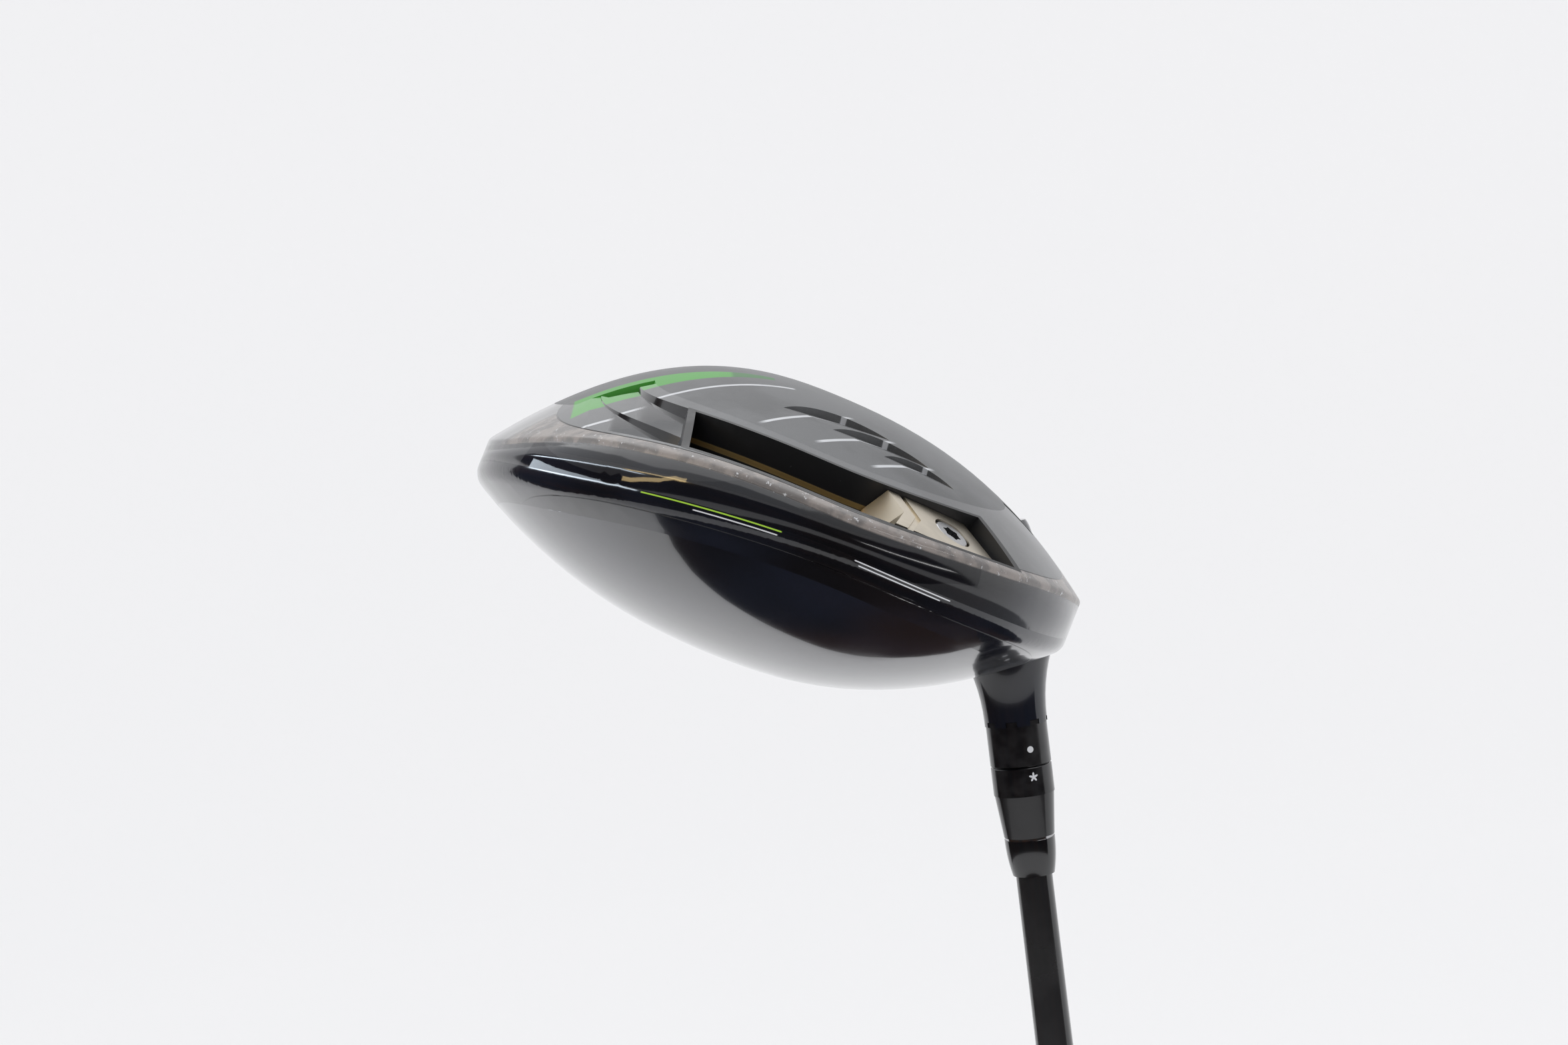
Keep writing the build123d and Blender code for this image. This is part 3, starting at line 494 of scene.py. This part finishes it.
def paint_sole():
    """Matt grey sole with a green stripe towards the toe and a raised line beside it."""
    material, tree, shader = new_material("sole_matt_grey", Specular_IOR_Level=0.45)
    base, rough, metal, height = sole_finish(tree, head_space(tree))
    feed(tree, shader.inputs["Base Color"], base)
    feed(tree, shader.inputs["Roughness"], rough)
    feed(tree, shader.inputs["Metallic"], metal)
    bump(tree, shader, height, 0.10, 1.0)
    return material


def paint_cog(name, mark_height, star):
    """Anodised black with one pale index mark, a dot or a star, towards the rear."""
    material, tree, shader = new_material(name, Coat_Weight=0.3, Coat_Roughness=0.05)
    place = club_space(tree)
    marks = use_group(tree, HANDLING, {"Place": place, "Scratch Scale": 0.8, "Amount": 0.35})
    x, y, z = parts_of(tree, place)
    across = maths(tree, "SUBTRACT", x, INDEX_SIDE)
    along = maths(tree, "SUBTRACT", z, mark_height)
    reach = maths(tree, "SQRT", maths(tree, "ADD", maths(tree, "MULTIPLY", across, across),
                                      maths(tree, "MULTIPLY", along, along)))
    edge = INDEX_RADIUS
    if star:
        points = maths(tree, "COSINE", maths(
            tree, "MULTIPLY", maths(tree, "ARCTAN2", across, along), 5.0))
        edge = maths(tree, "MULTIPLY_ADD", points, 0.35, INDEX_RADIUS)
    inside = maths(tree, "MULTIPLY", maths(tree, "LESS_THAN", reach, edge),
                   maths(tree, "LESS_THAN", y, 0.0))
    tone = ramp(tree, noise(tree, place, 0.3, 2.0), 0.35, 0.65)
    base = blend(tree, tone, DEEP_BLACK, SATIN_BLACK)
    feed(tree, shader.inputs["Base Color"], blend(tree, inside, base, LINE_WHITE))
    feed(tree, shader.inputs["Roughness"], ramp(tree, marks["Smudges"], 0.0, 0.4, 0.17, 0.28))
    bump(tree, shader, marks["Scratches"], 0.01, 0.5)
    return material


def paint_grip():
    """Black rubber with a moulded diamond pattern and plain ends."""
    material, tree, shader = new_material("grip_rubber", Specular_IOR_Level=0.35)
    place = club_space(tree)
    grain = use_group(tree, GRAIN, {"Place": place, "Grain Scale": 2.5})
    x, y, z = parts_of(tree, place)
    turn = maths(tree, "MULTIPLY", maths(tree, "ARCTAN2", y, x), STUD_TURNS)
    rise = maths(tree, "MULTIPLY", z, STUD_PITCH)
    cross = maths(tree, "MULTIPLY", maths(tree, "SINE", maths(tree, "ADD", turn, rise)),
                  maths(tree, "SINE", maths(tree, "SUBTRACT", turn, rise)))
    studs = maths(tree, "MULTIPLY", ramp(tree, cross, 0.15, 0.5),
                  band(tree, z, *STUD_RUN, 4.0))
    feed(tree, shader.inputs["Base Color"], blend(tree, studs, RUBBER, RUBBER_WORN))
    feed(tree, shader.inputs["Roughness"], ramp(tree, studs, 0.0, 1.0, 0.72, 0.5))
    height = maths(tree, "ADD", studs, maths(tree, "MULTIPLY", grain["Height"], 0.25))
    bump(tree, shader, height, 0.3, 0.9)
    return material


def paint_metal(name, colour, roughness, brush, scale, along=(1, 1, 1)):
    """Bare or anodised metal: a fine brushed or cast grain, scratches and smudges. Its grain
    stretches where `along` is small."""
    material, tree, shader = new_material(name, Metallic=1.0)
    place = head_space(tree)
    stretched = add(tree, "Mapping", {"Vector": place, "Scale": along}).outputs[0]
    grain = use_group(tree, GRAIN, {"Place": stretched, "Grain Scale": scale})
    marks = use_group(tree, HANDLING, {"Place": place, "Scratch Scale": 1.2, "Amount": 0.5})
    shade = tuple(c * 0.72 for c in colour[:3]) + (1,)
    base = blend(tree, ramp(tree, marks["Smudges"], 0.0, 0.6), colour, shade)
    base = blend(tree, maths(tree, "MULTIPLY", grain["Specks"], 0.25), base, shade)
    feed(tree, shader.inputs["Base Color"], base)
    feed(tree, shader.inputs["Roughness"],
         ramp(tree, marks["Scratches"], 0.0, 1.0, roughness, roughness + 0.14))
    bump(tree, shader, grain["Height"], brush, 0.6)
    return material


def paint_track():
    """Satin black liner with a thin gold reflection painted along its floor corner."""
    material, tree, shader = new_material("track_satin_black", Specular_IOR_Level=0.5)
    place = head_space(tree)
    grain = use_group(tree, GRAIN, {"Place": place, "Grain Scale": 6.0})
    marks = use_group(tree, HANDLING, {"Place": place, "Scratch Scale": 0.6, "Amount": 0.7})
    base = blend(tree, maths(tree, "MULTIPLY", marks["Scratches"], 0.5), SATIN_BLACK, CAST_GREY)
    depth = use_group(tree, HEIGHTS, {"Place": place})["Over Sole"]
    reach = use_group(tree, OUTLINE, {"Place": place})["Distance"]
    # Painted reflection: a thin gold, partly metallic line along the rail at the floor corner,
    # standing in for a warm light mirrored there
    painted_rail_reflection = maths(tree, "MULTIPLY", band(tree, depth, 6.4, 7.3, 0.3), ramp(tree, reach, 42.0, 41.0))
    base = blend(tree, maths(tree, "MULTIPLY", painted_rail_reflection, 0.8), base, REFLECTED_GOLD)
    feed(tree, shader.inputs["Metallic"], maths(tree, "MULTIPLY", painted_rail_reflection, 0.7))
    feed(tree, shader.inputs["Base Color"], base)
    feed(tree, shader.inputs["Roughness"], ramp(tree, marks["Smudges"], 0.0, 0.6, 0.30, 0.46))
    bump(tree, shader, grain["Height"], 0.02, 0.5)
    return material


def paint_plastic(name, colour, roughness, scale, depth, coat=0.0):
    """Moulded or painted plastic with a fine grain."""
    material, tree, shader = new_material(name, Coat_Weight=coat, Coat_Roughness=0.05)
    place = club_space(tree)
    grain = use_group(tree, GRAIN, {"Place": place, "Grain Scale": scale})
    marks = use_group(tree, HANDLING, {"Place": place, "Scratch Scale": 0.8, "Amount": 0.35})
    lighter = tuple(min(1.0, c * 1.8 + 0.004) for c in colour[:3]) + (1,)
    base = blend(tree, maths(tree, "MULTIPLY", grain["Specks"], 0.3), colour, lighter)
    feed(tree, shader.inputs["Base Color"], base)
    feed(tree, shader.inputs["Roughness"],
         ramp(tree, marks["Smudges"], 0.0, 0.4, roughness, roughness + 0.12))
    bump(tree, shader, grain["Height"], depth, 0.5)
    return material


def smooth_copy(node, finish, slot, sharp=35.0, merge=0.004):
    """A merged, smooth-shaded copy of a CAD node that stands for it. Edges over `sharp` degrees
    stay crisp, and points within `merge` millimetres are one."""
    source = frame["nodes"][node]
    piece = bpy.data.objects.new(node + "_finished", source.data.copy())
    bpy.context.scene.collection.objects.link(piece)
    mesh = piece.data
    if "custom_normal" in mesh.attributes:
        mesh.attributes.remove(mesh.attributes["custom_normal"])
    work = bmesh.new()
    work.from_mesh(mesh)
    bmesh.ops.remove_doubles(work, verts=work.verts, dist=merge * MM)
    work.to_mesh(mesh)
    work.free()
    mesh.shade_smooth()
    mesh.set_sharp_from_angle(angle=radians(sharp))
    mesh.materials.clear()
    mesh.materials.append(finish)
    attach(piece, source["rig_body"])
    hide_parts(node)


FINISHES = {
    "body_frame": (paint_frame(), "head_paint"),
    "crown_panel": (paint_crown(), "crown_gloss"),
    "face_cup": (paint_metal("face_brushed_titanium", CAST_GREY, 0.34, 0.012, 2.0,
                             (0.05, 1, 1)), "face_metal"),
    "sole_panel": (paint_sole(), "sole_satin"),
    "weight_channel": (paint_track(), "track_black"),
    "stiffening_blades": (paint_metal("bare_casting", CAST_GREY, 0.5, 0.05, 1.5), "bare_cast"),
    "bolt_washer": (paint_metal("washer_steel", STEEL, 0.3, 0.01, 3.0), "bolt_steel"),
    "bolt_retainer": (paint_plastic("retainer_nylon", PALE_GREY, 0.45, 2.0, 0.02),
                      "retainer_plastic"),
    "slide_weight": (paint_metal("weight_champagne_anodised", CHAMPAGNE, 0.30, 0.012, 4.0),
                     "weight_champagne"),
    "weight_clamp": (paint_metal("clamp_blasted_steel", STEEL, 0.4, 0.02, 3.0), "clamp_steel"),
    "weight_screw_washer": (paint_metal("screw_washer_steel", STEEL, 0.3, 0.01, 3.0),
                            "bolt_steel"),
    "weight_screw": (paint_metal("weight_screw_steel", STEEL, 0.24, 0.008, 4.0), "screw_steel"),
    "hosel_bolt": (paint_metal("bolt_turned_steel", STEEL, 0.26, 0.008, 4.0), "bolt_steel"),
    "shaft": (paint_plastic("shaft_gloss_black", SATIN_BLACK, 0.16, 1.0, 0.006, 0.5),
              "shaft_black"),
    "grip": (paint_grip(), "grip_rubber"),
    "grip_cap": (paint_plastic("cap_moulded", RUBBER, 0.5, 1.5, 0.04), "cap_plastic"),
    "grip_tape": (paint_plastic("tape_paper", TAPE, 0.8, 2.5, 0.03), "tape_paper"),
    "shaft_sleeve": (paint_plastic("sleeve_anodised_black", DEEP_BLACK, 0.16, 2.0, 0.004, 0.3),
                     "sleeve_black"),
    "lie_cog": (paint_cog("cog_anodised_lie", LIE_MARK, False), "cog_black"),
    "loft_cog": (paint_cog("cog_anodised_loft", LOFT_MARK, True), "cog_black"),
    "ferrule": (paint_plastic("ferrule_gloss", DEEP_BLACK, 0.12, 1.5, 0.004, 0.6),
                "ferrule_plastic"),
    "ferrule_ring": (paint_metal("ring_polished", STEEL, 0.14, 0.004, 4.0), "ring_silver"),
}
for node, finish in FINISHES.items():
    smooth_copy(node, *finish)


def make_room():
    """A round studio floor whose rim curves up into a pale wall."""
    floor_radius, bend, wall_height, turns = 5.0, 2.0, 5.0, 96
    work = bmesh.new()
    profile = [Vector((0, 0, 0)), Vector((floor_radius, 0, 0))]
    profile += [Vector((floor_radius + bend * sin(a), 0, bend * (1 - cos(a))))
                for a in (pi / 2 * k / 12 for k in range(1, 13))]
    profile.append(profile[-1] + Vector((0, 0, wall_height)))
    line = [work.verts.new(p) for p in profile]
    edges = [work.edges.new(pair) for pair in zip(line, line[1:])]
    bmesh.ops.spin(work, geom=line + edges, cent=(0, 0, 0), axis=(0, 0, 1), angle=2 * pi,
                   steps=turns, use_merge=True)
    bmesh.ops.remove_doubles(work, verts=work.verts, dist=MM)
    bmesh.ops.recalc_face_normals(work, faces=work.faces)
    mesh = bpy.data.meshes.new("studio")
    work.to_mesh(mesh)
    work.free()
    mesh.shade_smooth()
    room = bpy.data.objects.new("studio", mesh)
    bpy.context.scene.collection.objects.link(room)
    material, tree, shader = new_material("studio_pale", Roughness=0.9)
    tone = noise(tree, add(tree, "TexCoord").outputs["Object"], 0.4, 2.0)
    feed(tree, shader.inputs["Base Color"], blend(tree, tone, PALE, PALE_WARM))
    shader.inputs["Emission Color"].default_value = PALE
    shader.inputs["Emission Strength"].default_value = 0.70
    mesh.materials.append(material)


def add_light(name, place, size, power, colour):
    """A soft rectangle of light that faces the head and stays out of the picture."""
    data = bpy.data.lights.new(name, "AREA")
    data.shape = "RECTANGLE"
    data.size, data.size_y = size
    data.energy = power
    data.color = colour
    light = bpy.data.objects.new(name, data)
    light.location = HEAD_PLACE + Vector(place)
    light.rotation_mode = "QUATERNION"
    light.rotation_quaternion = (-Vector(place)).to_track_quat("-Z", "Y")
    light.visible_camera = False
    bpy.context.scene.collection.objects.link(light)


def make_dark_card(name, outline, angle):
    """A dark card that only reflections see: a line spun about the head's upright axis."""
    steps = 48
    work = bmesh.new()
    line = [work.verts.new(HEAD_PLACE + Vector(p)) for p in outline]
    edges = [work.edges.new(line)]
    bmesh.ops.spin(work, geom=line + edges, cent=HEAD_PLACE, axis=(0, 0, 1), angle=angle,
                   steps=steps, use_merge=abs(angle) >= 2 * pi)
    bmesh.ops.remove_doubles(work, verts=work.verts, dist=MM)
    bmesh.ops.recalc_face_normals(work, faces=work.faces)
    mesh = bpy.data.meshes.new(name)
    work.to_mesh(mesh)
    work.free()
    card = bpy.data.objects.new(name, mesh)
    bpy.context.scene.collection.objects.link(card)
    material, tree, shader = new_material(name + "_cloth", Roughness=1.0, Specular_IOR_Level=0.0)
    tone = noise(tree, add(tree, "TexCoord").outputs["Object"], 1.7, 2.0)
    feed(tree, shader.inputs["Base Color"],
         blend(tree, ramp(tree, tone, 0.4, 0.62), CARD_BLACK, CARD_BROWN))
    mesh.materials.append(material)
    card.visible_camera = card.visible_diffuse = card.visible_shadow = False


def light_scene():
    """The cards, the lights and the pale air round them."""
    wall = [Vector((WALL_REACH * sin(WALL_START), -WALL_REACH * cos(WALL_START),
                    WALL_REACH * sin(slope))) for slope in WALL_SLOPES]
    make_dark_card("dark_wall", wall, WALL_SWEEP)
    make_dark_card("dark_floor", [(reach, 0, FLOOR_DROP) for reach in FLOOR_REACH], 2 * pi)
    for name, settings in LIGHTS.items():
        add_light(name, *settings)
    world = bpy.data.worlds.new("studio_air")
    world.use_nodes = True
    world.node_tree.nodes["Background"].inputs["Color"].default_value = (0.95, 0.97, 1, 1)
    world.node_tree.nodes["Background"].inputs["Strength"].default_value = 0.8
    bpy.context.scene.world = world


def place_camera():
    """The camera, close to the head and a little turned about its own axis."""
    data = bpy.data.cameras.new("camera")
    data.sensor_width = 36.0
    data.lens = CAMERA_LENS
    camera = bpy.data.objects.new("camera", data)
    turn = (Matrix.Rotation(CAMERA_AZIMUTH, 3, "Z")
            @ Matrix.Rotation(pi / 2 - CAMERA_ELEVATION, 3, "X")
            @ Matrix.Rotation(CAMERA_ROLL, 3, "Z"))
    camera.matrix_world = Matrix.Translation(CAMERA_PLACE) @ turn.to_4x4()
    data.clip_start, data.clip_end = 0.01, 100
    bpy.context.scene.collection.objects.link(camera)
    bpy.context.scene.camera = camera


make_room()
light_scene()
place_camera()
bpy.context.scene.view_settings.view_transform = "Standard"
